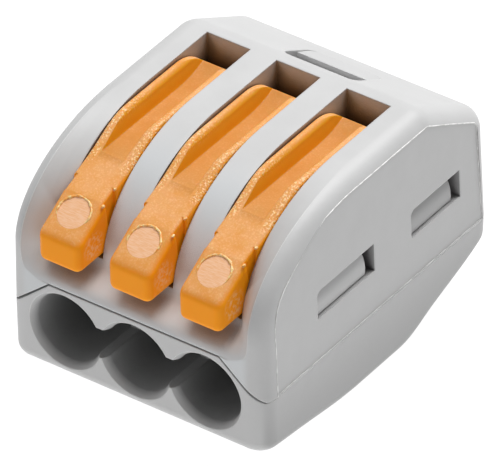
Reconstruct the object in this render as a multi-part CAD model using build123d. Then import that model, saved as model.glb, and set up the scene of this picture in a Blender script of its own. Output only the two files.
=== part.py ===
from build123d import *

import math
import os

# Three-pole lever wire connector, in millimetres.
# While it is built, X runs along the row of poles, Y back from the wire side and Z up from the belly.
# Every piece is written out with Y centred on the housing's depth.

# Envelope
PITCH = 4.5
POLE_X = (-PITCH, 0.0, PITCH)
WIDTH = 16.5
DEPTH = 20.8
PARTING_Z = 4.15
ROOF_Z = 13.55
FOLD_Y = 15.6
REAR_TOP_Y = 20.69
REAR_TOP_Z = 10.72
BEND_OUT_R = 1.6
SIDE_DRAFT = 1.3
CORNER_R = 1.2
BELLY_R = 0.7
SEAM = 0.01

# Front curves of the cheeks and of the ribs between the levers
CHEEK_LOW_Z = 8.0
CHEEK_CREST_Y = 8.8
RIB_Y = 1.6
RIB_LOW_Z = 7.6
RIB_CREST_Y = 9.6
RIB_START_Z = 8.2

# Front plate of the base, between the cheeks of the housing
PLATE_TOP_Z = 6.35
PLATE_TOP_HALF = 5.45
PLATE_KNEE_HALF = 7.4
PLATE_KNEE_Z = 4.65
PLATE_FOOT_HALF = 8.05
PLATE_FOOT_Z = PARTING_Z - 0.05
PLATE_ROOT_Z = PARTING_Z - 0.2
PLATE_THICK = 1.9
PLATE_GAP = 0.09

# Wire entries
ENTRY_Z = 3.76
ENTRY_R = 2.1
MOUTH_R = 2.34
MOUTH_DEPTH = 0.5
GUIDE_BACK_Y = 6.2
GUIDE_TOP_Z = 6.3
LINK_LOW_Z = 3.0
LINK_HIGH_Z = 4.9
LINK_HALF = 0.6
LINK_BACK_Y = 3.1

# Inside of the housing
CELL_HALF = 1.6
CELL_BACK_Y = 19.3
CELL_TOP_Z = 10.45
FLOOR_Z = 1.5
FLOOR_BACK_Y = 16.4
ARM_IN_X = 6.2
ARM_OUT_X = 6.95
ARM_FRONT_Y = 3.6
ARM_BACK_Y = 19.0
ARM_TOP_Z = 9.3
ARM_GAP = 0.15

# Lever slots
SLOT_HALF = 1.41
SLOT_FRONT_Y = 1.35
SLOT_BACK_Y = 14.95
SLOT_FLOOR_Z = 8.08
SLOT_STEP_Y = 2.32
SLOT_STEP_Z = 9.2

# Side windows and the snap lugs that fill them
WINDOW_LOW_Z = 6.7
WINDOW_HIGH_Z = 8.42
WINDOWS_Y = ((5.15, 10.25), (13.6, 18.05))
WINDOW_CUT = 0.25
LUG_OUT_X = 7.95
LUG_BACK_GAP = 0.62
LUG_GAP = 0.06
LUG_LEAN = 0.4
LUG_ROUND = 0.55

# Recessed panel on both sides
PANEL_DEPTH = 0.1

# Flare from the ribs out to the cheeks: X, then the share of the way from rib to cheek
FLARE = ((4.9, 0.0), (5.91, 0.1), (6.6, 0.5), (7.35, 1.0))

# Latch recess in the rear slope of the roof
SCOOP_Y = (15.9, 18.6)
SCOOP_PIT_Y = 17.0
SCOOP_PIT_Z = 11.3
SCOOP_SILL = (17.35, 12.45)
SCOOP_BACK_Z = 11.88
SCOOP_X = 0.55
SCOOP_HALF = 2.35

# Busbar
BUSBAR_LOW_Z = 5.85
BUSBAR_THICK = 0.8
TONGUE_HALF = 0.9
TONGUE_FRONT_Y = 6.45
TONGUE_BACK_Y = 16.2
RAIL_HALF = 5.7
RAIL_FRONT_Y = 12.4
RAIL_BACK_Y = 14.6

# Cage clamps
STRIP = 0.3
CLAMP_HALF = 1.45
CLAMP_WINDOW_HALF = 1.0
TANG_GAP = 0.03
TANG_FRONT_Y = 9.0
LOOP_Y = 16.4
LOOP_R = 1.6
LEG_Y = 7.5
BEND_R = 0.5
LEG_LOW_Z = 4.95
LEG_BAR = 0.8

# Levers
PIVOT_Y = 12.6
PIVOT_Z = 11.5
TRUNNION_R = 0.8
TRUNNION_HALF = 1.62
TRUNNION_CLEARANCE = 0.05
LOBE_R = 2.25
HEEL_R = 1.2
BODY_HALF = 1.35
BODY_FRONT = (3.0, 11.72)
RAIL_Z = 13.42
RAIL_ROUND = 0.2
NECK_HALF = 1.22
NECK_ROUND = 0.2
PAD_HALF = 1.36
PAD_FRONT_Y = -0.35
PAD_LOW_Z = 8.15
PAD_TOP_Y = 2.02
PAD_TOP_Z = 11.36
PAD_SLOPE = 30.5
PAD_ROUND = 0.42
PAD_TOE_ROUND = 0.35
PAD_BROW_ROUND = 0.6
CHANNEL_FLOOR_HALF = 0.72
CHANNEL_WALL = (0.84, 13.05)
CHANNEL_BRIM_HALF = 1.05
CHANNEL_Z = 12.35
CHANNEL_LEVEL_Y = 11.4
CHANNEL_OPEN_Y = 14.0
CHANNEL_RISE_R = 7.5
TAIL_START_Y = 12.0
TAIL_END = (13.7, 12.71)
TAIL_R = 2.42
MARK_Y = 1.12
MARK_R = 0.95
MARK_DEPTH = 0.05


def side_prism(outline, half_width, centre_x=0.0):
    """A face drawn in Y and Z, swept to both sides of centre_x."""
    prism = extrude(Plane.YZ * outline, amount=2 * half_width)
    return Pos(centre_x - half_width, 0, 0) * prism


def front_prism(outline, from_y, to_y):
    """A face drawn in X and Z, swept from one depth to another."""
    plane = Plane((0, from_y, 0), x_dir=(1, 0, 0), z_dir=(0, -1, 0))
    return extrude(plane * outline, amount=from_y - to_y)


def box(x, y, z):
    """A block from three pairs of limits."""
    size = (x[1] - x[0], y[1] - y[0], z[1] - z[0])
    centre = ((x[0] + x[1]) / 2, (y[0] + y[1]) / 2, (z[0] + z[1]) / 2)
    return Pos(*centre) * Box(*size)


def polygon(*points):
    return make_face(Polyline(*points, close=True))


def front_curve(foot_y, low_z, crest_y, start_z):
    """A quarter ellipse from a steep front up to the flat roof, in Y and Z, begun at start_z."""
    rise = ROOF_Z - low_z
    sweep = 90 - math.degrees(math.asin((start_z - low_z) / rise))
    return EllipticalCenterArc((crest_y, low_z), crest_y - foot_y, rise, start_angle=90, arc_size=sweep)


def upper_block():
    """Outer shape of the housing above the parting line."""
    outline = make_face(
        Curve()
        + [
            Line((0, PARTING_Z), (0, CHEEK_LOW_Z)),
            front_curve(0, CHEEK_LOW_Z, CHEEK_CREST_Y, CHEEK_LOW_Z),
            Line((CHEEK_CREST_Y, ROOF_Z), (FOLD_Y, ROOF_Z)),
            Line((FOLD_Y, ROOF_Z), (REAR_TOP_Y, REAR_TOP_Z)),
            Line((REAR_TOP_Y, REAR_TOP_Z), (DEPTH, PARTING_Z)),
            Line((DEPTH, PARTING_Z), (0, PARTING_Z)),
        ]
    )
    bends = [v for v in outline.vertices() if v.Y > PARTING_Z + 1 and v.X > FOLD_Y - 1]
    outline = fillet(bends, BEND_OUT_R)
    block = side_prism(outline, WIDTH / 2)
    for side in (-1, 1):
        tilt = Pos(side * WIDTH / 2, 0, PARTING_Z) * Rot(0, -side * SIDE_DRAFT, 0)
        block -= tilt * Pos(side * 2, DEPTH / 2, 5) * Box(4, DEPTH * 2, 14)
    rims = [
        edge
        for edge in block.edges()
        if abs(edge.center().X) > WIDTH / 2 - 1 and edge.center().Z > PARTING_Z + 0.1
    ]
    return fillet(rims, CORNER_R)


def lower_block():
    """Outer shape of the base below the parting line."""
    outline = make_face(
        Curve()
        + [
            Line((0, PARTING_Z), (0, 0.9)),
            Spline((0, 0.9), (3.6, 0.45), (8.6, 0), tangents=((1, -0.2), (1, 0))),
            Line((8.6, 0), (12.2, 0)),
            Spline((12.2, 0), (15.0, 0.75), (19.4, 2.3), tangents=((1, 0), (1, 0.45))),
            Line((19.4, 2.3), (DEPTH - 0.1, 2.9)),
            Line((DEPTH - 0.1, 2.9), (DEPTH, PARTING_Z)),
            Line((DEPTH, PARTING_Z), (0, PARTING_Z)),
        ]
    )
    block = side_prism(outline, WIDTH / 2)
    uprights = [e for e in block.edges().filter_by(Axis.Z) if e.center().Y < 1]
    rear = [e for e in block.edges() if e.center().Y > DEPTH - 0.2]
    uprights += [e for e in rear if abs(e.center().X) > WIDTH / 2 - 0.1]
    block = fillet(uprights, CORNER_R)
    uprights = block.edges().filter_by(Axis.Z)
    rims = [e for e in block.edges() if e.center().Z < PARTING_Z - 1 and e not in uprights]
    rims = [e for e in rims if abs(e.center().X) > WIDTH / 2 - 0.6 or e.center().Y < 0.01]
    return fillet(rims, BELLY_R)


def plate_outline(gap):
    """The raised front plate, in X and Z, widened by gap on its slopes and top."""
    half = [
        (PLATE_FOOT_HALF + gap, PLATE_ROOT_Z),
        (PLATE_FOOT_HALF + gap, PLATE_FOOT_Z),
        (PLATE_KNEE_HALF + gap, PLATE_KNEE_Z + gap),
        (PLATE_TOP_HALF + gap / 2, PLATE_TOP_Z + gap),
    ]
    return polygon(*half, *[(-x, z) for x, z in reversed(half)])


def window_block(y, low_x, high_x):
    """A side window's space, with its front top corner cut off."""
    outline = polygon(
        (y[0], WINDOW_LOW_Z),
        (y[1], WINDOW_LOW_Z),
        (y[1], WINDOW_HIGH_Z),
        (y[0] + WINDOW_CUT, WINDOW_HIGH_Z),
        (y[0], WINDOW_HIGH_Z - WINDOW_CUT),
    )
    return side_prism(outline, (high_x - low_x) / 2, (low_x + high_x) / 2)


def pocket_section(share):
    """The pocket's section in Y and Z: over the ledge and up to the roof, from rib to cheek by share."""

    def between(rib, cheek):
        return rib + (cheek - rib) * share

    low_z = between(RIB_LOW_Z, CHEEK_LOW_Z)
    start_z = between(RIB_START_Z, CHEEK_LOW_Z + 0.1)
    curve = front_curve(between(RIB_Y, -0.03), low_z, between(RIB_CREST_Y, CHEEK_CREST_Y), start_z)
    foot = (between(0.03, -0.1), PLATE_TOP_Z + PLATE_GAP)
    shoulder = (between(0.35, -0.09), between(6.95, 7.0))
    ledge = (between(1.15, -0.07), between(7.4, 7.5))
    crest = ((curve @ 0).X, ROOF_Z)
    start = ((curve @ 1).X, (curve @ 1).Y)
    return make_face(
        Curve()
        + [
            Line((-2, foot[1]), foot),
            Spline(foot, shoulder, ledge, start, tangents=((0.1, 1), (0.1, 1))),
            curve,
            Line(crest, (crest[0], ROOF_Z + 2)),
            Line((crest[0], ROOF_Z + 2), (-2, ROOF_Z + 2)),
            Line((-2, ROOF_Z + 2), (-2, foot[1])),
        ]
    )


def pocket():
    """The space in front of the ribs, flaring out to the cheeks on both sides."""
    space = side_prism(pocket_section(0), FLARE[0][0])
    for side in (-1, 1):
        sections = [Plane.YZ.offset(side * x) * pocket_section(share) for x, share in FLARE]
        space += loft(sections, ruled=True)
    return space


def panel_cut(side):
    """The shallow recess in one side, bounded a little inside the side's outline."""
    foot_z = PARTING_Z - 0.5
    outline = make_face(
        Curve()
        + [
            Line((1.3, foot_z), (1.3, 8.4)),
            Spline((1.3, 8.4), (3.4, 11.25), (6.2, 12.6), (9.2, 12.98), tangents=((0.05, 1), (1, 0))),
            Line((9.2, 12.98), (15.1, 12.98)),
            Line((15.1, 12.98), (19.1, 10.85)),
            RadiusArc((19.1, 10.85), (19.7, 9.8), 0.9),
            Line((19.7, 9.8), (19.95, foot_z)),
            Line((19.95, foot_z), (1.3, foot_z)),
        ]
    )
    slab = Pos(0, 0, -PARTING_Z) * extrude(Plane.YZ * outline, amount=side * 3)
    tilt = Rot(0, -side * SIDE_DRAFT, 0)
    return Pos(side * (WIDTH / 2 - PANEL_DEPTH), 0, PARTING_Z) * tilt * slab


def rear_scoop():
    """The latch recess behind the slots, deepest along its front edge."""
    front, back = SCOOP_Y
    outline = polygon(
        (front, ROOF_Z + 1),
        (front, SCOOP_PIT_Z),
        (SCOOP_PIT_Y, SCOOP_PIT_Z),
        SCOOP_SILL,
        (back, SCOOP_BACK_Z),
        (back, ROOF_Z + 1),
    )
    scoop = side_prism(outline, SCOOP_HALF, SCOOP_X)
    return fillet(scoop.edges().filter_by(Axis.Z), 0.5)


def upper_housing():
    shell = upper_block()
    shell -= front_prism(plate_outline(PLATE_GAP), -1, PLATE_THICK + PLATE_GAP)
    shell -= pocket()
    shell -= rear_scoop()
    arm_out = ARM_OUT_X + ARM_GAP
    for side in (-1, 1):
        shell -= panel_cut(side)
        for y in WINDOWS_Y:
            shell -= window_block(y, min(side * 6, side * 9), max(side * 6, side * 9))
        low, high = sorted((side * (ARM_IN_X - 0.12), side * arm_out))
        shell -= box((low, high), (ARM_FRONT_Y - 0.2, CELL_BACK_Y), (0, ARM_TOP_Z + ARM_GAP))
    shell -= box((-arm_out, arm_out), (PLATE_THICK - PLATE_GAP, GUIDE_BACK_Y + 0.1), (0, GUIDE_TOP_Z + 0.1))
    tang_z = BUSBAR_LOW_Z + BUSBAR_THICK + TANG_GAP
    shell -= box((-ARM_IN_X, ARM_IN_X), (GUIDE_BACK_Y, CELL_BACK_Y), (0, tang_z))
    slot = polygon(
        (SLOT_FRONT_Y, SLOT_FLOOR_Z),
        (SLOT_STEP_Y, SLOT_FLOOR_Z),
        (SLOT_STEP_Y, SLOT_STEP_Z),
        (SLOT_BACK_Y, SLOT_STEP_Z),
        (SLOT_BACK_Y, ROOF_Z + 2),
        (SLOT_FRONT_Y, ROOF_Z + 2),
    )
    for x in POLE_X:
        shell -= box((x - CELL_HALF, x + CELL_HALF), (GUIDE_BACK_Y + 0.1, CELL_BACK_Y), (0, CELL_TOP_Z))
        shell -= side_prism(slot, SLOT_HALF, x)
        hole_half = TRUNNION_HALF + TRUNNION_CLEARANCE
        shell -= side_prism(Pos(PIVOT_Y, PIVOT_Z) * Circle(TRUNNION_R + TRUNNION_CLEARANCE), hole_half, x)
    return shell


def snap_lug(y, side):
    """A lug with a flat catch below, a bulging face that leans in and a rounded rear end."""
    front = y[0] + LUG_GAP
    rear = y[1] - LUG_BACK_GAP
    low = WINDOW_LOW_Z + LUG_GAP
    high = WINDOW_HIGH_Z - LUG_GAP
    root_x = ARM_OUT_X - 0.3
    catch = (LUG_OUT_X - 0.05, low)
    bulge = (LUG_OUT_X - 0.06, low + 0.7)
    top = (LUG_OUT_X - LUG_LEAN, high)
    front_view = make_face(
        Curve()
        + [
            Line((root_x, low), catch),
            ThreePointArc(catch, bulge, top),
            Line(top, (root_x, high)),
            Line((root_x, high), (root_x, low)),
        ]
    )
    side_view = polygon(
        (front, low),
        (rear, low),
        (rear, high),
        (front + WINDOW_CUT, high),
        (front, high - WINDOW_CUT),
    )
    side_view = fillet(side_view.vertices().group_by(Axis.X)[-1].sort_by(Axis.Y)[-1], LUG_ROUND)
    lug = front_prism(front_view, front, rear) & side_prism(side_view, WIDTH)
    return lug if side > 0 else mirror(lug, about=Plane.YZ)


def wire_entry():
    """The space of one wire entry: a rounded mouth, then a straight bore."""
    mouth = make_face(
        Curve()
        + [
            Line((0, -1), (MOUTH_R, -1)),
            Line((MOUTH_R, -1), (MOUTH_R, 0)),
            ThreePointArc((MOUTH_R, 0), (ENTRY_R + 0.06, MOUTH_DEPTH / 2), (ENTRY_R, MOUTH_DEPTH)),
            Line((ENTRY_R, MOUTH_DEPTH), (ENTRY_R, GUIDE_BACK_Y)),
            Line((ENTRY_R, GUIDE_BACK_Y), (0, GUIDE_BACK_Y)),
            Line((0, GUIDE_BACK_Y), (0, -1)),
        ]
    )
    return revolve(mouth, Axis.Y)


def base():
    column = box((-WIDTH / 2, WIDTH / 2), (0, DEPTH), (PARTING_Z - 1, ROOF_Z))
    column = fillet(column.edges().filter_by(Axis.Z), CORNER_R)
    plate = column & front_prism(plate_outline(0), -1, PLATE_THICK)
    body = lower_block() - box((-WIDTH, WIDTH), (-1, DEPTH + 1), (PARTING_Z - SEAM, ROOF_Z)) + plate
    body += box((-ARM_OUT_X, ARM_OUT_X), (PLATE_THICK, GUIDE_BACK_Y), (FLOOR_Z, GUIDE_TOP_Z))
    back = CELL_BACK_Y - 0.5
    inside = polygon(
        (GUIDE_BACK_Y, FLOOR_Z),
        (FLOOR_BACK_Y, FLOOR_Z),
        (back, 3.4),
        (back, 20),
        (GUIDE_BACK_Y, 20),
    )
    for x in POLE_X:
        body -= side_prism(inside, CELL_HALF, x)
    webs = (-PITCH / 2, PITCH / 2)
    for x in webs:
        wall = (x - PITCH / 2 + CELL_HALF, x + PITCH / 2 - CELL_HALF)
        body += box(wall, (GUIDE_BACK_Y - 0.1, FLOOR_BACK_Y), (FLOOR_Z, BUSBAR_LOW_Z))
    for side in (-1, 1):
        low, high = sorted((side * ARM_IN_X, side * ARM_OUT_X))
        body += box((low, high), (ARM_FRONT_Y, ARM_BACK_Y), (PARTING_Z - 1, ARM_TOP_Z))
        for y in WINDOWS_Y:
            body += snap_lug(y, side)
    entry = wire_entry()
    for x in POLE_X:
        body -= Pos(x, 0, ENTRY_Z) * entry
    for x in webs:
        body -= box((x - LINK_HALF, x + LINK_HALF), (-1, LINK_BACK_Y), (LINK_LOW_Z, LINK_HIGH_Z))
    return body


def busbar():
    """A stamped copper comb: one cross rail and a tongue for each pole."""
    high = BUSBAR_LOW_Z + BUSBAR_THICK
    bar = box((-RAIL_HALF, RAIL_HALF), (RAIL_FRONT_Y, RAIL_BACK_Y), (BUSBAR_LOW_Z, high))
    for x in POLE_X:
        bar += box((x - TONGUE_HALF, x + TONGUE_HALF), (TONGUE_FRONT_Y, TONGUE_BACK_Y), (BUSBAR_LOW_Z, high))
    return bar


def cage_clamp(x):
    """Spring strip bent into a tang, a loop, an arm and a windowed leg."""
    tang_z = BUSBAR_LOW_Z + BUSBAR_THICK + TANG_GAP + STRIP / 2
    arm_z = tang_z + 2 * LOOP_R
    route = (
        Line((TANG_FRONT_Y, tang_z), (LOOP_Y, tang_z))
        + CenterArc((LOOP_Y, tang_z + LOOP_R), LOOP_R, -90, 180)
        + Line((LOOP_Y, arm_z), (LEG_Y + BEND_R, arm_z))
        + RadiusArc((LEG_Y + BEND_R, arm_z), (LEG_Y, arm_z - BEND_R), -BEND_R)
        + Line((LEG_Y, arm_z - BEND_R), (LEG_Y, LEG_LOW_Z))
    )
    strip = side_prism(make_face(offset(route, amount=STRIP / 2)), CLAMP_HALF, x)
    window = box(
        (x - CLAMP_WINDOW_HALF, x + CLAMP_WINDOW_HALF),
        (LEG_Y - 1, LEG_Y + 1),
        (LEG_LOW_Z + LEG_BAR, arm_z - BEND_R - 0.4),
    )
    return strip - window


def lever_pad(x):
    """The thumb pad, rounded all round its front."""
    top_front_z = PAD_TOP_Z - (PAD_TOP_Y - PAD_FRONT_Y) * math.tan(math.radians(PAD_SLOPE))
    outline = polygon(
        (2.15, PAD_LOW_Z),
        (2.25, 9.6),
        (PAD_TOP_Y, PAD_TOP_Z),
        (PAD_FRONT_Y, top_front_z),
        (PAD_FRONT_Y, PAD_LOW_Z),
    )
    toe, brow = outline.vertices().group_by(Axis.X)[0].sort_by(Axis.Y)
    outline = fillet(toe, PAD_TOE_ROUND)
    brow = outline.vertices().group_by(Axis.X)[0].sort_by(Axis.Y)[-1]
    outline = fillet(brow, PAD_BROW_ROUND)
    pad = side_prism(outline, PAD_HALF, x)
    rims = [e for e in pad.edges() if abs(abs(e.center().X - x) - PAD_HALF) < 0.01 and e.center().Y < 1.9]
    return fillet([e for e in rims if e.center().Z > PAD_LOW_Z + 0.01], PAD_ROUND)


def pad_mark(x):
    """The space of the shallow round mark on the pad's slope."""
    slope_z = PAD_TOP_Z - (PAD_TOP_Y - MARK_Y) * math.tan(math.radians(PAD_SLOPE))
    slope = Plane((x, MARK_Y, slope_z), x_dir=(1, 0, 0)).rotated((PAD_SLOPE, 0, 0))
    return extrude(slope * Circle(MARK_R), amount=MARK_DEPTH, both=True)


def channel_width():
    """The channel seen from the front: walls that lean out, then round over to the rails."""
    wall_x, wall_z = CHANNEL_WALL
    middle = (wall_x + 0.07, wall_z + 0.25)
    sides = []
    for side in (-1, 1):
        brim = (side * CHANNEL_BRIM_HALF, RAIL_Z)
        sides.append(Line((side * CHANNEL_FLOOR_HALF, CHANNEL_Z), (side * wall_x, wall_z)))
        sides.append(ThreePointArc((side * wall_x, wall_z), (side * middle[0], middle[1]), brim))
        sides.append(Line(brim, (brim[0], 15)))
    floor = Line((-CHANNEL_FLOOR_HALF, CHANNEL_Z), (CHANNEL_FLOOR_HALF, CHANNEL_Z))
    top = Line((-CHANNEL_BRIM_HALF, 15), (CHANNEL_BRIM_HALF, 15))
    return front_prism(make_face(Curve() + [floor, *sides, top]), 3, 14)


def lever_body(x):
    """The channelled body behind the neck, ending in the opening lobe."""
    heel_z = PIVOT_Z - HEEL_R
    lobe = CenterArc((PIVOT_Y, PIVOT_Z), LOBE_R, 4, -34)
    outline = make_face(
        Curve()
        + [
            Line((BODY_FRONT[0], 9.6), BODY_FRONT),
            Spline(BODY_FRONT, (4.7, 12.4), (6.2, 13.15), (7.8, RAIL_Z), tangents=((1, 0.35), (1, 0))),
            Line((7.8, RAIL_Z), (TAIL_START_Y, RAIL_Z)),
            RadiusArc((TAIL_START_Y, RAIL_Z), TAIL_END, TAIL_R),
            Line(TAIL_END, lobe @ 0),
            lobe,
            Line(lobe @ 1, (13.4, heel_z)),
            Line((13.4, heel_z), (6.0, heel_z)),
            Line((6.0, heel_z), (BODY_FRONT[0], 9.6)),
        ]
    )
    body = side_prism(outline, BODY_HALF, x)
    rims = [e for e in body.edges() if abs(abs(e.center().X - x) - BODY_HALF) < 0.01 and e.center().Y > 3.1]
    body = fillet([e for e in rims if e.center().Z > PIVOT_Z + 0.6], RAIL_ROUND)
    climb = CHANNEL_RISE_R - math.sqrt(CHANNEL_RISE_R**2 - (CHANNEL_OPEN_Y - CHANNEL_LEVEL_Y) ** 2)
    start = (CHANNEL_LEVEL_Y, CHANNEL_Z)
    rise = RadiusArc(start, (CHANNEL_OPEN_Y, CHANNEL_Z + climb), -CHANNEL_RISE_R)
    channel = make_face(
        Curve()
        + [
            Line((3.5, CHANNEL_Z), (CHANNEL_LEVEL_Y, CHANNEL_Z)),
            rise,
            Line(rise @ 1, (CHANNEL_OPEN_Y, 15)),
            Line((CHANNEL_OPEN_Y, 15), (3.5, 15)),
            Line((3.5, 15), (3.5, CHANNEL_Z)),
        ]
    )
    return body - (side_prism(channel, BODY_HALF, x) & Pos(x, 0, 0) * channel_width())


def lever_neck(x):
    """The narrower stretch that joins the pad to the body, flush with both on top."""
    behind_pad = (PAD_TOP_Y, PAD_TOP_Z + 0.005)
    outline = polygon((1.6, 9.4), (1.6, 11.1), behind_pad, BODY_FRONT, (3.3, 11.8), (3.3, 9.7))
    neck = side_prism(outline, NECK_HALF, x)
    top_sides = [e for e in neck.edges() if abs(e.center().X - x) > NECK_HALF - 0.01 and e.center().Z > 11]
    return fillet(top_sides, NECK_ROUND)


def lever(x):
    """Thumb pad, neck and channelled body in one moulding, with two trunnions and an opening lobe."""
    trunnions = side_prism(Pos(PIVOT_Y, PIVOT_Z) * Circle(TRUNNION_R), TRUNNION_HALF, x)
    return lever_body(x) + lever_neck(x) + lever_pad(x) + trunnions - pad_mark(x)


def main():
    os.makedirs("parts", exist_ok=True)
    pieces = {"upper_housing": upper_housing(), "base": base(), "busbar": busbar()}
    for number, x in enumerate(POLE_X, start=1):
        pieces[f"cage_clamp_{number}"] = cage_clamp(x)
        pieces[f"lever_{number}"] = lever(x)
    for name, piece in pieces.items():
        export_step(Pos(0, -(DEPTH + PAD_FRONT_Y) / 2, 0) * piece, f"parts/{name}.step")


main()
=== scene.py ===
import math

import bpy
from mathutils import Matrix, Vector, noise


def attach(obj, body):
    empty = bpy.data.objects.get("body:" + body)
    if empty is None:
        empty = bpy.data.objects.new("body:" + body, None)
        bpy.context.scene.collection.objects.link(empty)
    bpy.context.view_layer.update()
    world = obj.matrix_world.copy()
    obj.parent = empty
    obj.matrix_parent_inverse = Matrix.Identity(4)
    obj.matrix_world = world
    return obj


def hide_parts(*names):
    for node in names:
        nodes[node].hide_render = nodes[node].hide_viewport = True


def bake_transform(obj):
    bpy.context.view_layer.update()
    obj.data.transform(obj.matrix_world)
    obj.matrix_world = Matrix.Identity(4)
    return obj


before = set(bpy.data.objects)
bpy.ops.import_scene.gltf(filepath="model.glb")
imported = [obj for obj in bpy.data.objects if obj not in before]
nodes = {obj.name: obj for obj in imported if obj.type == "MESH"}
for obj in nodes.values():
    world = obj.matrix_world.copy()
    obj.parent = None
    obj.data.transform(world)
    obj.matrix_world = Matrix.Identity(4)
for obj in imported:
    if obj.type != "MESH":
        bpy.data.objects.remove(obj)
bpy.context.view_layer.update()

# Lengths are in millimetres until they are multiplied by MM. Depths (Y) count from the wire side,
# as in the CAD source, until CENTRE_Y is taken off.
MM = 0.001
PITCH = 4.5
CENTRE_Y = 10.225
POLES = (-PITCH, 0.0, PITCH)

# ---------------------------------------------------------------- camera
CAMERA_AZIMUTH = math.radians(36.5746)
CAMERA_ELEVATION = math.radians(36.6793)
CAMERA_ROLL = math.radians(-1.4229)
CAMERA_DISTANCE = 527.66 * MM
CAMERA_TARGET = Vector((0, 10.2 - CENTRE_Y, 8.14)) * MM
CAMERA_LENS = 725.5
CAMERA_SENSOR = 36
CAMERA_SHIFT = (0.00488, -0.07294)
CAMERA_CLIP = (0.05, 5)


def make_camera():
    a, e, r = CAMERA_AZIMUTH, CAMERA_ELEVATION, CAMERA_ROLL
    right = Vector((math.cos(a), math.sin(a), 0))
    back = Vector((math.sin(a) * math.cos(e), -math.cos(a) * math.cos(e), math.sin(e)))
    up = back.cross(right)
    rolled_right = math.cos(r) * right + math.sin(r) * up
    rolled_up = math.cos(r) * up - math.sin(r) * right
    data = bpy.data.cameras.new("camera")
    data.lens = CAMERA_LENS
    data.sensor_width = CAMERA_SENSOR
    data.shift_x, data.shift_y = CAMERA_SHIFT
    data.clip_start, data.clip_end = CAMERA_CLIP
    camera = bpy.data.objects.new("camera", data)
    turn = Matrix((rolled_right, rolled_up, back)).transposed().to_4x4()
    camera.matrix_world = Matrix.Translation(CAMERA_TARGET + back * CAMERA_DISTANCE) @ turn
    bpy.context.scene.collection.objects.link(camera)
    bpy.context.scene.camera = camera


# ---------------------------------------------------------------- light and floor, in metres and watts
SKY_STRENGTH = 0.1
LIGHTS = {
    "top": {"place": (0.015, 0.14, 0.34), "size": 0.2, "power": 1.6},
    "front": {"place": (-0.16, -0.42, 0.16), "size": 0.2, "power": 0.26},
}
FLOOR_SIZE = 4
FLOOR_Z = -0.00003
FLOOR_GREY = 0.12
FLOOR_ROUGHNESS = 0.9
FLOOR_GLOW = 0.965


def area_light(name, place, size, power):
    """A square soft box aimed at the object."""
    data = bpy.data.lights.new(name, "AREA")
    data.size = size
    data.energy = power
    light = bpy.data.objects.new(name, data)
    light.location = place
    light.rotation_mode = "QUATERNION"
    light.rotation_quaternion = Vector(place).to_track_quat("Z", "Y")
    bpy.context.scene.collection.objects.link(light)


def make_stage():
    bpy.context.scene.view_settings.view_transform = "Standard"
    world = bpy.data.worlds.new("world")
    bpy.context.scene.world = world
    world.use_nodes = True
    sky = world.node_tree.nodes["Background"]
    sky.inputs["Color"].default_value = (1, 1, 1, 1)
    sky.inputs["Strength"].default_value = SKY_STRENGTH
    for name, settings in LIGHTS.items():
        area_light(name, **settings)
    bpy.ops.mesh.primitive_plane_add(size=FLOOR_SIZE, location=(0, 0, FLOOR_Z))
    floor = bpy.context.object
    floor.name = "floor"
    material = bpy.data.materials.new("floor")
    material.use_nodes = True
    shader = material.node_tree.nodes["Principled BSDF"]
    shader.inputs["Base Color"].default_value = (FLOOR_GREY, FLOOR_GREY, FLOOR_GREY, 1)
    shader.inputs["Roughness"].default_value = FLOOR_ROUGHNESS
    shader.inputs["Emission Color"].default_value = (1, 1, 1, 1)
    shader.inputs["Emission Strength"].default_value = FLOOR_GLOW
    floor.data.materials.append(material)


# ---------------------------------------------------------------- materials
RISE = (0.0, 1.0)
FALL = (1.0, 0.0)


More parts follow.
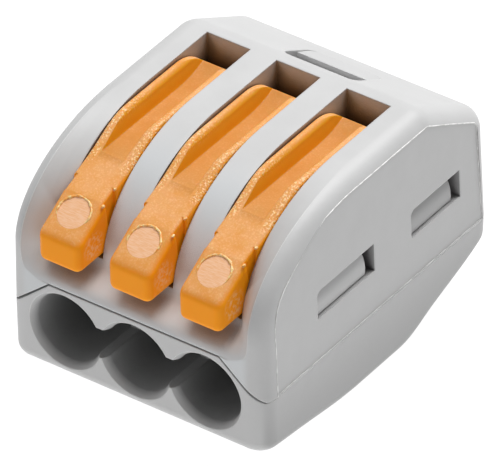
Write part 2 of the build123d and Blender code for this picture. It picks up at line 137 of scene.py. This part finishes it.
class Look:
    """A short way to add and link shader nodes."""

    def __init__(self, name):
        self.material = bpy.data.materials.new(name)
        self.material.use_nodes = True
        self.tree = self.material.node_tree
        self.shader = self.tree.nodes["Principled BSDF"]
        self.coordinates = self.add("TexCoord").outputs
        self.where = self.coordinates["Object"]

    def put(self, socket, value):
        if isinstance(value, bpy.types.NodeSocket):
            self.tree.links.new(value, socket)
        else:
            socket.default_value = value

    def add(self, kind, settings=None, **inputs):
        node = self.tree.nodes.new("ShaderNode" + kind)
        for key, value in (settings or {}).items():
            setattr(node, key, value)
        for key, value in inputs.items():
            self.put(node.inputs[key.replace("_", " ")], value)
        return node

    def dress(self, **inputs):
        """Set or link inputs of the shader itself."""
        for key, value in inputs.items():
            self.put(self.shader.inputs[key.replace("_", " ")], value)
        return self.material

    def math(self, operation, *values):
        node = self.tree.nodes.new("ShaderNodeMath")
        node.operation = operation
        for socket, value in zip(node.inputs, values):
            self.put(socket, value)
        return node.outputs[0]

    def times(self, first, *others):
        for other in others:
            first = self.math("MULTIPLY", first, other)
        return first

    def size_of(self, value):
        return self.math("ABSOLUTE", value)

    def split(self, vector):
        outputs = self.add("SeparateXYZ", Vector=vector).outputs
        return outputs["X"], outputs["Y"], outputs["Z"]

    def ramp(self, value, limits, ends=RISE):
        """A smooth step from one end value to the other between two limits."""
        node = self.add("MapRange", {"interpolation_type": "SMOOTHSTEP"}, Value=value)
        for socket, number in zip(("From Min", "From Max", "To Min", "To Max"), (*limits, *ends)):
            node.inputs[socket].default_value = number
        return node.outputs["Result"]

    def length_ramp(self, value, limits, ends=RISE):
        """A ramp whose limits are lengths."""
        return self.ramp(value, [limit * MM for limit in limits], ends)

    def depth_ramp(self, value, limits, ends=RISE):
        """A ramp whose limits are depths."""
        return self.length_ramp(value, [limit - CENTRE_Y for limit in limits], ends)

    def grain(self, scale, detail, roughness=0.5, where=None):
        vector = where or self.where
        node = self.add("TexNoise", Vector=vector, Scale=scale, Detail=detail, Roughness=roughness)
        return node.outputs["Fac"]

    def streaks(self, scale):
        """Noise drawn out along one axis."""
        drawn_out = self.add("Mapping", Vector=self.where, Scale=scale).outputs["Vector"]
        return self.grain(1.0, 3.0, where=drawn_out)

    def openness(self, samples, reach, alone):
        settings = {"samples": samples, "only_local": alone}
        return self.add("AmbientOcclusion", settings, Distance=reach * MM).outputs["AO"]

    def edge_share(self, radius):
        """1 right at a sharp edge, 0 a little way off it."""
        rounded = self.bevel(radius)
        plain = self.add("NewGeometry").outputs["Normal"]
        dot = self.tree.nodes.new("ShaderNodeVectorMath")
        dot.operation = "DOT_PRODUCT"
        self.put(dot.inputs[0], rounded)
        self.put(dot.inputs[1], plain)
        return self.ramp(self.math("SUBTRACT", 1.0, dot.outputs["Value"]), (0.004, 0.06))

    def off_pole(self, x):
        """How far a place lies from the middle of the nearest pole, along X."""
        shifted = self.math("MODULO", self.math("ADD", x, 1.5 * PITCH * MM), PITCH * MM)
        return self.size_of(self.math("SUBTRACT", shifted, 0.5 * PITCH * MM))

    def blend(self, share, first, second):
        node = self.add("Mix", {"data_type": "RGBA"})
        for index, value in ((0, share), (6, first), (7, second)):
            self.put(node.inputs[index], (*value, 1) if isinstance(value, tuple) else value)
        return node.outputs[2]

    def bevel(self, radius):
        return self.add("Bevel", {"samples": 4}, Radius=radius * MM).outputs["Normal"]

    def bump(self, strength, depth, height, normal=None):
        node = self.add("Bump", Strength=strength, Distance=depth * MM, Height=height)
        if normal:
            self.put(node.inputs["Normal"], normal)
        return node.outputs["Normal"]


# Colours, as linear red, green and blue
GREY_DULL = (0.585, 0.585, 0.585)
GREY_FRESH = (0.615, 0.615, 0.615)
GREY_PAINTED_LIGHT = (0.67, 0.69, 0.705)
GREY_PAINTED_SHADE = (0.3, 0.3, 0.3)
GREY_HIGHLIGHT = (0.95, 0.95, 0.94)
WHITE_PAINTED_LIGHT = (1.0, 1.0, 1.0)
SLOT_SHADE = (0.105, 0.095, 0.098)
ENTRY_SHADE = (0.24, 0.24, 0.24)

# Regions of the housing: _X counts from the middle of the object, _OFF from the middle of the nearest
# pole, _Y is a depth and _Z a height; each pair gives where the change begins and ends
LEDGE_LOW_Z = (6.3, 6.8)
LEDGE_HIGH_Z = (8.4, 9.2)
LEDGE_BACK_Y = (1.7, 2.0)
LEDGE_END_X = (6.8, 7.4)
UNDER_PAD_OFF = (1.3, 1.8)
OUTER_PAD_X = (6.0, 6.4)
CONTACT_REACH = 1.6
RIB_OFF = (1.38, 1.42)
RIBS_END_X = (3.3, 3.6)
RIB_FADE_Y = (5, 8)
SCOOP_Y = (15.05, 15.25)
SCOOP_Z = (11.6, 12.5)
SILL_Z = (12.1, 12.35)

# Regions of the grey mouldings' sides that get painted shade
SHADED_SIDE_Z = (0, 6)
REAR_LUG_Y = (12.225, 13.225)
REAR_LUG_Z = (6.2, 6.6)


def lever_side(n, open_share, surface, shade):
    """The housing's colour near the levers, with painted light: brown painted shade in the slots, a
    painted shadow under the pads, a painted paler grey on the ribs and the front ledge, and painted
    white on the scoop's sill.
    """
    x, y, z = n.split(n.where)
    off_pole = n.off_pole(x)
    off_middle = n.size_of(x)
    in_front = n.depth_ramp(y, LEDGE_BACK_Y, (0.9, 0.0))
    in_scoop = n.times(n.depth_ramp(y, SCOOP_Y), n.length_ramp(z, SCOOP_Z, (0.3, 1.0)))
    # Less painted shade at the front and in the rear scoop
    open_share = n.math("MAXIMUM", open_share, n.math("MAXIMUM", in_front, in_scoop))
    # Painted light: the ribs and the front ledge are painted a paler grey against the shade that falls
    # on them
    lit_rib = n.times(n.length_ramp(off_pole, RIB_OFF), n.length_ramp(off_middle, RIBS_END_X, FALL))
    lit_rib = n.times(lit_rib, n.depth_ramp(y, RIB_FADE_Y, (0.8, 0.0)))
    lit_ledge = n.times(in_front, n.length_ramp(off_middle, LEDGE_END_X, FALL))
    surface = n.blend(n.math("MAXIMUM", lit_rib, lit_ledge), surface, GREY_PAINTED_LIGHT)
    colour = n.blend(open_share, shade, surface)
    # Painted light: the scoop's forward-facing sill, which lies in shade, is painted white, more so
    # higher up
    forward = n.math("MULTIPLY", n.split(n.coordinates["Normal"])[1], -1.0)
    lit_sill = n.times(in_scoop, n.ramp(forward, (0.4, 0.7)), n.length_ramp(z, SILL_Z))
    colour = n.blend(lit_sill, colour, WHITE_PAINTED_LIGHT)
    # Painted shadow: the ledge under each pad turns to the shade colour where a short-reach ambient
    # occlusion finds it closed in
    on_ledge = n.times(n.length_ramp(z, LEDGE_LOW_Z), n.length_ramp(z, LEDGE_HIGH_Z, FALL))
    under_pad = n.length_ramp(off_pole, UNDER_PAD_OFF, (1.0, 0.1))
    under_pad = n.times(under_pad, n.length_ramp(off_middle, OUTER_PAD_X, FALL))
    near = n.ramp(n.openness(8, CONTACT_REACH, False), (0.4, 1.0), (0.8, 0.0))
    return n.blend(n.times(on_ledge, under_pad, near), colour, shade)


def grey_plastic(name, open_limits, shade, reach, alone):
    """Fine-grained light grey polyamide, with painted shade where little light gets in."""
    n = Look(name)
    cloud = n.grain(320.0, 4.0, 0.6)
    # Painted shade: where the ambient occlusion finds the surface closed in, the colour turns to the
    # shade colour
    open_share = n.ramp(n.openness(6, reach, alone), open_limits)
    surface = n.blend(n.ramp(cloud, (0.3, 0.7)), GREY_DULL, GREY_FRESH)
    y, z = n.split(n.where)[1:]
    on_side = n.ramp(n.size_of(n.split(n.coordinates["Normal"])[0]), (0.6, 0.9))
    if alone:
        colour = n.blend(open_share, shade, surface)
        # Painted shade on the rear lug's sideways faces
        shaded_lug = n.times(n.depth_ramp(y, REAR_LUG_Y), n.length_ramp(z, REAR_LUG_Z, (0.0, 0.4)))
        shaded_lug = n.times(on_side, shaded_lug)
        colour = n.blend(shaded_lug, colour, GREY_PAINTED_SHADE)
    else:
        colour = lever_side(n, open_share, surface, shade)
    # Painted shade: sideways faces turn darker towards the bottom
    colour = n.blend(n.times(on_side, n.length_ramp(z, SHADED_SIDE_Z, (0.5, 0.0))), colour, GREY_PAINTED_SHADE)
    # Painted highlight: open sharp edges are lightened
    colour = n.blend(n.times(n.edge_share(0.06), open_share, 0.9), colour, GREY_HIGHLIGHT)
    fine = n.bump(0.25, 0.01, n.grain(9000.0, 2.0), n.bevel(0.12))
    soft = n.bump(0.2, 0.03, n.grain(900.0, 2.0), fine)
    roughness = n.ramp(cloud, (0.3, 0.7), (0.46, 0.54))
    return n.dress(Base_Color=colour, Roughness=roughness, Normal=soft, IOR=1.5)


# The orange tones by facing are painted light and shade: upward faces get their own tone, darker on the
# channel floor; steep faces and the channel walls get theirs, the walls painted darker low down
ORANGE_STEEP = (0.98, 0.33, 0.004)
ORANGE_TOP = (0.73, 0.29, 0.04)
ORANGE_CHANNEL = (0.52, 0.215, 0.04)
ORANGE_WALL_SHADED = (0.78, 0.33, 0.012)
ORANGE_WALL_LIT = (0.86, 0.42, 0.03)
ORANGE_SHEEN = (0.86, 0.5, 0.27)
ORANGE_GLINT = (1.0, 0.68, 0.38)
ORANGE_SCAR = (1.0, 0.6, 0.3)
ORANGE_GLOW = (1.0, 0.33, 0.01, 1)

# Regions of a lever, named in the same way
RAIL_OFF = (0.8, 0.95)
RAIL_Z = (11.9, 12.2)
RAIL_FADE_Y = (7.0, 10.5)
CHANNEL_OFF = (0.7, 0.8)
CHANNEL_Y = (3.9, 4.9)
WALL_OFF = (1.1, 1.2)
WALL_Z = (12.2, 12.4)
HIGH_WALL_Z = (12.5, 13.3)
PAD_SIDE_OFF = (1.15, 1.3)
SCAR_Y = 0.95
SCAR_Z = 9.35
SCAR_R = (0.5, 1.0)


def orange_plastic():
    """Slightly translucent orange polyamide with painted light: tones by facing, a painted sheen on top,
    painted glints on the rails and a faint painted glow; scuffed pad sides.
    """
    n = Look("orange_polyamide")
    x, y, z = n.split(n.where)
    off_pole = n.off_pole(x)
    upward = n.ramp(n.split(n.coordinates["Normal"])[2], (0.3, 0.95))
    on_rail = n.times(n.length_ramp(off_pole, RAIL_OFF), n.length_ramp(z, RAIL_Z))
    on_rail = n.times(on_rail, n.depth_ramp(y, RAIL_FADE_Y, FALL))
    in_channel = n.times(n.depth_ramp(y, CHANNEL_Y), n.length_ramp(off_pole, CHANNEL_OFF, FALL))
    on_wall = n.times(n.length_ramp(off_pole, WALL_OFF, FALL), n.length_ramp(z, WALL_Z))
    off_y = n.math("SUBTRACT", y, (SCAR_Y - CENTRE_Y) * MM)
    off_z = n.math("SUBTRACT", z, SCAR_Z * MM)
    off_scar = n.math("SQRT", n.math("ADD", n.times(off_y, off_y), n.times(off_z, off_z)))
    scar = n.times(n.length_ramp(off_pole, PAD_SIDE_OFF), n.length_ramp(off_scar, SCAR_R, (0.7, 0.0)))

    grain = n.grain(9000.0, 3.0, 0.6)
    # Painted sheen: upward faces are paled in a soft cloudy pattern, less in the channel
    sheen_share = n.times(upward, n.ramp(n.grain(700.0, 5.0, 0.65), (0.25, 0.75), (0.3, 1.0)))
    sheen_share = n.times(sheen_share, n.math("SUBTRACT", 1.0, n.times(in_channel, 0.7)))
    # Painted light and shade: the colour follows which way a face looks
    wall = n.blend(n.length_ramp(z, HIGH_WALL_Z), ORANGE_WALL_SHADED, ORANGE_WALL_LIT)
    steep = n.blend(on_wall, ORANGE_STEEP, wall)
    colour = n.blend(upward, steep, n.blend(in_channel, ORANGE_TOP, ORANGE_CHANNEL))
    colour = n.blend(n.times(sheen_share, 0.6), colour, ORANGE_SHEEN)
    # Painted glints: fine light specks on the rails, and fewer in the painted sheen
    glints = n.times(n.ramp(grain, (0.5, 0.62)), n.math("MAXIMUM", n.times(sheen_share, 0.35), on_rail))
    colour = n.blend(glints, colour, ORANGE_GLINT)
    colour = n.blend(n.times(scar, n.ramp(n.grain(4500.0, 3.0, 0.6), (0.4, 0.65))), colour, ORANGE_SCAR)

    rough_share = n.math("MAXIMUM", on_rail, n.times(scar, 0.5))
    chips = n.add("TexVoronoi", Vector=n.where, Scale=8000.0).outputs["Distance"]
    fine = n.bump(0.35, 0.012, grain, n.bevel(0.13))
    rough = n.bump(n.ramp(rough_share, (0.0, 1.0), (0.05, 0.8)), 0.04, chips, fine)
    n.dress(Base_Color=colour, Roughness=n.ramp(on_rail, (0.0, 1.0), (0.45, 0.3)), Normal=rough)
    # A painted glow: faint orange emission for light scattered inside the plastic
    n.dress(Specular_IOR_Level=0.15, IOR=1.5, Emission_Color=ORANGE_GLOW, Emission_Strength=0.07)
    return n.dress(
        Subsurface_Weight=0.25, Subsurface_Radius=(1.0, 0.35, 0.1), Subsurface_Scale=0.7 * MM
    )


def mark_plastic():
    """The lever's orange with fine scratches across it."""
    n = Look("orange_scratched")
    lines = n.streaks((2400.0, 20000.0, 20000.0))
    colour = n.blend(n.ramp(lines, (0.3, 0.7)), (0.93, 0.49, 0.24), (1.0, 0.61, 0.38))
    return n.dress(Base_Color=colour, Roughness=0.45, Normal=n.bump(0.3, 0.01, lines))


def grey_flash_highlight():
    """Thin tubes on the housing, painted bright as a highlight: on the panels' edges and on the moulding
    flash along the parting plane.
    """
    n = Look("grey_flash_highlight")
    colour = n.blend(n.ramp(n.grain(2500.0, 3.0), (0.35, 0.6)), (0.66, 0.66, 0.65), GREY_HIGHLIGHT)
    return n.dress(Base_Color=colour, Roughness=0.35)


def flash_highlight_plastic():
    """Thin moulding flash on the levers, paler and brighter than the lever: partly the thin flash's own
    tone, partly a painted highlight.
    """
    n = Look("orange_flash_highlight")
    colour = n.blend(n.ramp(n.grain(5000.0, 3.0), (0.4, 0.6)), (0.95, 0.42, 0.1), (1.0, 0.7, 0.34))
    n.dress(Base_Color=colour, Roughness=0.3)
    return n.dress(
        Subsurface_Weight=0.3, Subsurface_Radius=(1.0, 0.5, 0.2), Subsurface_Scale=0.2 * MM
    )


def metal(name, colour, roughness):
    """Bare metal with faint rolling streaks."""
    n = Look(name)
    lines = n.streaks((300.0, 6000.0, 6000.0))
    tint = tuple(0.94 * c for c in colour)
    base = n.blend(lines, tint, colour)
    bumpy = n.bump(0.15, 0.02, lines)
    return n.dress(Base_Color=base, Metallic=1.0, Roughness=roughness, Normal=bumpy)


# ---------------------------------------------------------------- pieces
SHARP_ANGLE = math.radians(28)


def smooth(mesh):
    for polygon in mesh.polygons:
        polygon.use_smooth = True


def sharpen(piece):
    piece.data.set_sharp_from_angle(angle=SHARP_ANGLE)


def add_mesh(name, points, faces, material, body):
    mesh = bpy.data.meshes.new(name)
    mesh.from_pydata([Vector(p) * MM for p in points], [], faces)
    mesh.materials.append(material)
    smooth(mesh)
    piece = bpy.data.objects.new(name, mesh)
    bpy.context.scene.collection.objects.link(piece)
    if body:
        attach(piece, body)
    return piece


def skin(rings, sides, turned=False):
    """Faces over rings of points and over both ends, facing the other way when turned."""
    faces = []
    for i in range(rings - 1):
        for j in range(sides):
            k = (j + 1) % sides
            a, b = i * sides, (i + 1) * sides
            faces.append((a + j, a + k, b + k, b + j) if turned else (a + j, b + j, b + k, a + k))
    first, last = range(sides), range((rings - 1) * sides, rings * sides)
    faces.append(tuple(reversed(first) if turned else first))
    faces.append(tuple(last if turned else reversed(last)))
    return faces


# Thin raised tubes on the housing, painted bright: a painted highlight along each panel's edge, and
# moulding flash painted bright along the parting plane; RIM_STEP_Y and WINDOW_HALF_Y count from the
# middle of the object
TUBE_R = 0.032
TUBE_SIDES = 6
TUBE_SIDEWAYS = Vector((0.9, 0.1, 0.42))
PARTING_Z = 4.15
PARTING_START_Y = 1.4
PARTING_STEP = 0.5
PARTING_COUNT = 38
PARTING_WOBBLE = 0.005
PARTING_PACE = 0.7
PANEL_FOOT_X = 8.15
PANEL_DEPTH = 0.1
PANEL_DRAFT = math.radians(1.3)
PANEL_TOLERANCE = 0.012
FOOT_GAP = 0.05
RIM_STEP_Y = -5.0
RIM_STEP_Z = (10.8, 12.2)
WINDOW_HALF_Y = 8.5
WINDOW_Z = (6.65, 8.47)
MICRONS_PER_M = 1e6
MICRONS_PER_MM = 1000


def flash_and_highlight_tube(name, path, material):
    """A thin closed tube along a path on the housing, in millimetres."""
    points = []
    for i, place in enumerate(path):
        ahead = (path[min(i + 1, len(path) - 1)] - path[max(i - 1, 0)]).normalized()
        across = ahead.cross(TUBE_SIDEWAYS).normalized()
        other = ahead.cross(across)
        for j in range(TUBE_SIDES):
            spin = 2 * math.pi * j / TUBE_SIDES
            points.append(place + TUBE_R * (math.cos(spin) * across + math.sin(spin) * other))
    add_mesh(name, points, skin(len(path), TUBE_SIDES, True), material, "housing")


def panel_border(side):
    """The recessed panel's outline on one side, read from the housing's own mesh, in millimetres."""
    mesh = nodes["upper_housing"].data

    def in_panel(polygon):
        for index in polygon.vertices:
            x, _, z = mesh.vertices[index].co / MM
            panel_x = PANEL_FOOT_X - (z - PARTING_Z) * math.tan(PANEL_DRAFT)
            if abs(side * x - panel_x) > PANEL_TOLERANCE:
                return False
        return True

    def in_microns(index):
        return tuple(round(v * MICRONS_PER_M) for v in mesh.vertices[index].co)

    uses = {}
    for polygon in mesh.polygons:
        if in_panel(polygon):
            for key in polygon.edge_keys:
                ends = tuple(sorted(in_microns(index) for index in key))
                uses[ends] = uses.get(ends, 0) + 1
    neighbours = {}
    for (first, second), count in uses.items():
        middle_z = (first[2] + second[2]) / 2 / MICRONS_PER_MM
        at_foot = max(first[2], second[2]) / MICRONS_PER_MM < PARTING_Z + FOOT_GAP
        at_window = WINDOW_Z[0] < middle_z < WINDOW_Z[1]
        at_window = at_window and abs(first[1]) / MICRONS_PER_MM < WINDOW_HALF_Y
        if count == 1 and not at_foot and not at_window:
            neighbours.setdefault(first, []).append(second)
            neighbours.setdefault(second, []).append(first)
    start = min((p for p in neighbours if len(neighbours[p]) == 1), key=lambda p: (p[2], p[1]))
    chain = [start]
    while True:
        onward = [p for p in neighbours[chain[-1]] if p not in chain]
        if not onward:
            break
        chain.append(onward[0])
    border = [Vector(p) / MICRONS_PER_MM for p in chain]
    low, high = RIM_STEP_Z
    for place in border:
        if place.y < RIM_STEP_Y:
            place.x += side * PANEL_DEPTH * min(1, max(0, (high - place.z) / (high - low)))
    return border


def housing_flash_and_highlights(material):
    """The thin raised line round each side panel, a painted highlight on the panel's edge, and the one
    along the parting plane, moulding flash painted bright.
    """
    for side, word in ((-1, "left"), (1, "right")):
        flash_and_highlight_tube(f"panel_edge_highlight_{word}", panel_border(side), material)
        line = []
        for i in range(PARTING_COUNT):
            z = PARTING_Z + PARTING_WOBBLE * noise.noise(Vector((i * PARTING_PACE, side, 3)))
            line.append(Vector((side * PANEL_FOOT_X, PARTING_START_Y - CENTRE_Y + PARTING_STEP * i, z)))
        flash_and_highlight_tube(f"parting_flash_highlight_{word}", line, material)


# The round mark on each pad's slope, and the drops of flash beside it
PAD_SLOPE = math.radians(30.5)
PAD_TOP_Y = 2.02
PAD_TOP_Z = 11.36
MARK_Y = 1.12
MARK_Z = PAD_TOP_Z - (PAD_TOP_Y - MARK_Y) * math.tan(PAD_SLOPE)
MARK_R = 0.95
MARK_LOW = -0.01
MARK_GAP = 0.01
MARK_RINGS = 6
MARK_SPOKES = 48
RIM_START = math.radians(-28)
RIM_STOP = math.radians(212)
RIM_STEPS = 72
RIM_SIDES = 8
RIM_WANDER = 0.035
RIM_WANDER_PACE = 2.2
RIM_THICK = 0.065
RIM_LUMPS = 0.035
RIM_LUMP_PACE = 7
RIM_TIP = 0.004
RIM_TAPER = 9
BEAD_R = 0.08
BEAD_LUMPS = 0.4
BEAD_LUMP_PACE = 3
BEAD_LONG = 1.7
BEAD_CAP = 0.02
BEAD_RINGS = 8
BEAD_SPOKES = 12
BEADS = {"neck": (1.26, 3.05, 11.66), "pad": (1.28, 1.95, 11.22)}


def on_pad(x, across, along, height):
    """A point on the pad's slope, from the middle of its round mark."""
    return (
        x + across,
        MARK_Y - CENTRE_Y + along * math.cos(PAD_SLOPE) - height * math.sin(PAD_SLOPE),
        MARK_Z + along * math.sin(PAD_SLOPE) + height * math.cos(PAD_SLOPE),
    )


def lever_mesh(number, part, points, faces, material):
    name = f"lever_{number}_{part}"
    add_mesh(name, points, faces, material, f"lever_{number}_body")


def mark_rim(number, x, material):
    """The raised, slightly ragged rim round the mark, open at its front."""
    points = []
    for i in range(RIM_STEPS + 1):
        share = i / RIM_STEPS
        turn = RIM_START + (RIM_STOP - RIM_START) * share
        radius = MARK_R + RIM_WANDER * noise.noise(Vector((turn * RIM_WANDER_PACE, x, 0.3)))
        taper = min(1, RIM_TAPER * share, RIM_TAPER * (1 - share))
        lumpy = RIM_THICK + RIM_LUMPS * noise.noise(Vector((turn * RIM_LUMP_PACE, x, 7)))
        thick = lumpy * taper + RIM_TIP
        for j in range(RIM_SIDES):
            spin = 2 * math.pi * j / RIM_SIDES
            out = radius + thick * math.cos(spin)
            lift = thick * math.sin(spin)
            points.append(on_pad(x, out * math.cos(turn), out * math.sin(turn), lift))
    lever_mesh(number, "mark_rim", points, skin(RIM_STEPS + 1, RIM_SIDES), material)


def mark_floor(number, x, material):
    """The scratched floor of the mark."""
    points = [on_pad(x, 0, 0, MARK_LOW)]
    faces = []
    for i in range(1, MARK_RINGS + 1):
        for j in range(MARK_SPOKES):
            turn = 2 * math.pi * j / MARK_SPOKES
            r = (MARK_R - MARK_GAP) * i / MARK_RINGS
            points.append(on_pad(x, r * math.cos(turn), r * math.sin(turn), MARK_LOW))
    for j in range(MARK_SPOKES):
        k = (j + 1) % MARK_SPOKES
        faces.append((0, 1 + j, 1 + k))
        for i in range(MARK_RINGS - 1):
            a, b = 1 + i * MARK_SPOKES, 1 + (i + 1) * MARK_SPOKES
            faces.append((a + j, b + j, b + k, a + k))
    lever_mesh(number, "mark", points, faces, material)


def flash_beads(number, x, material):
    """Small drops of flash at the corners behind the pad and behind the neck."""
    for word, (across, y, z) in BEADS.items():
        points = []
        for i in range(BEAD_RINGS + 1):
            tilt = math.pi * (BEAD_CAP + (1 - 2 * BEAD_CAP) * i / BEAD_RINGS)
            for j in range(BEAD_SPOKES):
                turn = 2 * math.pi * j / BEAD_SPOKES
                seat = (BEAD_LUMP_PACE * math.cos(turn), BEAD_LUMP_PACE * tilt, x + z)
                lump = noise.noise(Vector(seat))
                radius = BEAD_R * (1 + BEAD_LUMPS * lump)
                ahead = BEAD_LONG * radius * math.sin(tilt) * math.cos(turn)
                aside = radius * math.sin(tilt) * math.sin(turn)
                points.append((x + across + aside, y - CENTRE_Y + ahead, z + radius * math.cos(tilt)))
        lever_mesh(number, f"bead_{word}", points, skin(BEAD_RINGS + 1, BEAD_SPOKES), material)


# Spring strip: the CAD clamp's route, in the CAD's own millimetres, a little thinner so that the
# pressed arm just clears the lever's lobe
STRIP = 0.25
CLAMP_HALF = 1.45
CLAMP_RAIL_X = 1.0
COLUMNS = (-CLAMP_HALF, -CLAMP_RAIL_X, CLAMP_RAIL_X, CLAMP_HALF)
WINDOW_COLUMN = 1
TANG_Z = 6.83
TANG_FRONT_Y = 9.0
TANG_STEPS = 8
LOOP_Y = 16.4
LOOP_R = 1.6
LOOP_STEPS = 32
ARM_Z = TANG_Z + 2 * LOOP_R
ARM_STEPS = 4
SPLIT_Y = 12.0
LEG_Y = 7.5
LEG_BEND_R = 0.5
LEG_BEND_STEPS = 8
LEG_LOW_Z = 4.95
LEG_BAR = 0.8
LEG_WINDOW_DROP = 0.4


def straight(start, end, steps, z, out_z):
    """Points of a level run in Y, from its start up to the step before its end."""
    return [(start + (end - start) * i / steps, z, 0, out_z) for i in range(steps)]


def arc(y, z, radius, start, turn, steps):
    """Points and outward normals of an arc in Y and Z, in degrees."""
    angles = [math.radians(start + turn * i / steps) for i in range(steps + 1)]
    normals = [(math.cos(a), math.sin(a)) for a in angles]
    return [(y + radius * out_y, z + radius * out_z, out_y, out_z) for out_y, out_z in normals]


def strip(name, x, route, window, material, body):
    """A flat strip along a route of (y, z, normal y, normal z), open between its rails inside window."""
    points = []
    for y, z, out_y, out_z in route:
        for lift in (-STRIP / 2, STRIP / 2):
            for across in COLUMNS:
                points.append((x + across, y + lift * out_y - CENTRE_Y, z + lift * out_z))

    def corner(row, layer, column):
        return (2 * row + layer) * len(COLUMNS) + column

    cells = set()
    for row in range(len(route) - 1):
        for column in range(len(COLUMNS) - 1):
            if column != WINDOW_COLUMN or not window[0] <= row < window[1]:
                cells.add((row, column))
    faces = []
    for row, column in sorted(cells):
        quad = [(row, column), (row + 1, column), (row + 1, column + 1), (row, column + 1)]
        faces.append([corner(r, 1, c) for r, c in quad])
        faces.append([corner(r, 0, c) for r, c in reversed(quad)])
        neighbours = ((row, column - 1), (row + 1, column), (row, column + 1), (row - 1, column))
        for side, other in enumerate(neighbours):
            if other not in cells:
                (r0, c0), (r1, c1) = quad[side], quad[(side + 1) % 4]
                low_edge = [corner(r0, 0, c0), corner(r1, 0, c1)]
                faces.append(low_edge + [corner(r1, 1, c1), corner(r0, 1, c0)])
    return add_mesh(name, points, faces, material, body)


def cage_clamp(number, x, material):
    """The clamp in two pieces: a tang and loop fixed in place, and an arm and leg attached to the
    clamp's body, so that they swing with it.
    """
    tang = straight(TANG_FRONT_Y, LOOP_Y, TANG_STEPS, TANG_Z, -1)
    loop = arc(LOOP_Y, TANG_Z + LOOP_R, LOOP_R, -90, 180, LOOP_STEPS)
    rear_arm = straight(LOOP_Y, SPLIT_Y, ARM_STEPS, ARM_Z, 1)[1:] + [(SPLIT_Y, ARM_Z, 0, 1)]
    bending = strip(f"cage_clamp_{number}_loop", x, tang + loop + rear_arm, (0, 0), material, None)
    front_arm = straight(SPLIT_Y, LEG_Y + LEG_BEND_R, ARM_STEPS, ARM_Z, 1)
    bend = arc(LEG_Y + LEG_BEND_R, ARM_Z - LEG_BEND_R, LEG_BEND_R, 90, 90, LEG_BEND_STEPS)
    window_top = ARM_Z - LEG_BEND_R - LEG_WINDOW_DROP
    leg = [(LEG_Y, z, -1, 0) for z in (window_top, LEG_LOW_Z + LEG_BAR, LEG_LOW_Z)]
    window = (len(front_arm) + len(bend), len(front_arm) + len(bend) + 1)
    swinging = strip(
        f"cage_clamp_{number}_leg", x, front_arm + bend + leg, window, material, f"clamp_{number}_body"
    )
    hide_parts(f"cage_clamp_{number}")
    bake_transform(bending)
    sharpen(bending)
    sharpen(swinging)


def dress_nodes(looks):
    for name, node in nodes.items():
        node.data.materials.clear()
        node.data.materials.append(looks[name])
        smooth(node.data)
        sharpen(node)


def main():
    make_camera()
    make_stage()
    # Painted shade colours: brown in the housing's slots, dark grey in the base's wire entries
    grey = grey_plastic("grey_polyamide", (0.22, 0.6), SLOT_SHADE, 2.0, False)
    grey_inside = grey_plastic("grey_polyamide_entries", (0.3, 0.6), ENTRY_SHADE, 6.0, True)
    orange = orange_plastic()
    scratched = mark_plastic()
    flash = flash_highlight_plastic()
    housing_flash_and_highlights(grey_flash_highlight())
    tin = metal("tinned_copper", (0.75, 0.72, 0.68), 0.35)
    steel = metal("spring_steel", (0.62, 0.61, 0.60), 0.3)
    looks = {"upper_housing": grey, "base": grey_inside, "busbar": tin}
    for number, x in enumerate(POLES, start=1):
        looks[f"lever_{number}"] = orange
        looks[f"cage_clamp_{number}"] = steel
        mark_rim(number, x, flash)
        flash_beads(number, x, flash)
        mark_floor(number, x, scratched)
        cage_clamp(number, x, steel)
    dress_nodes(looks)


main()
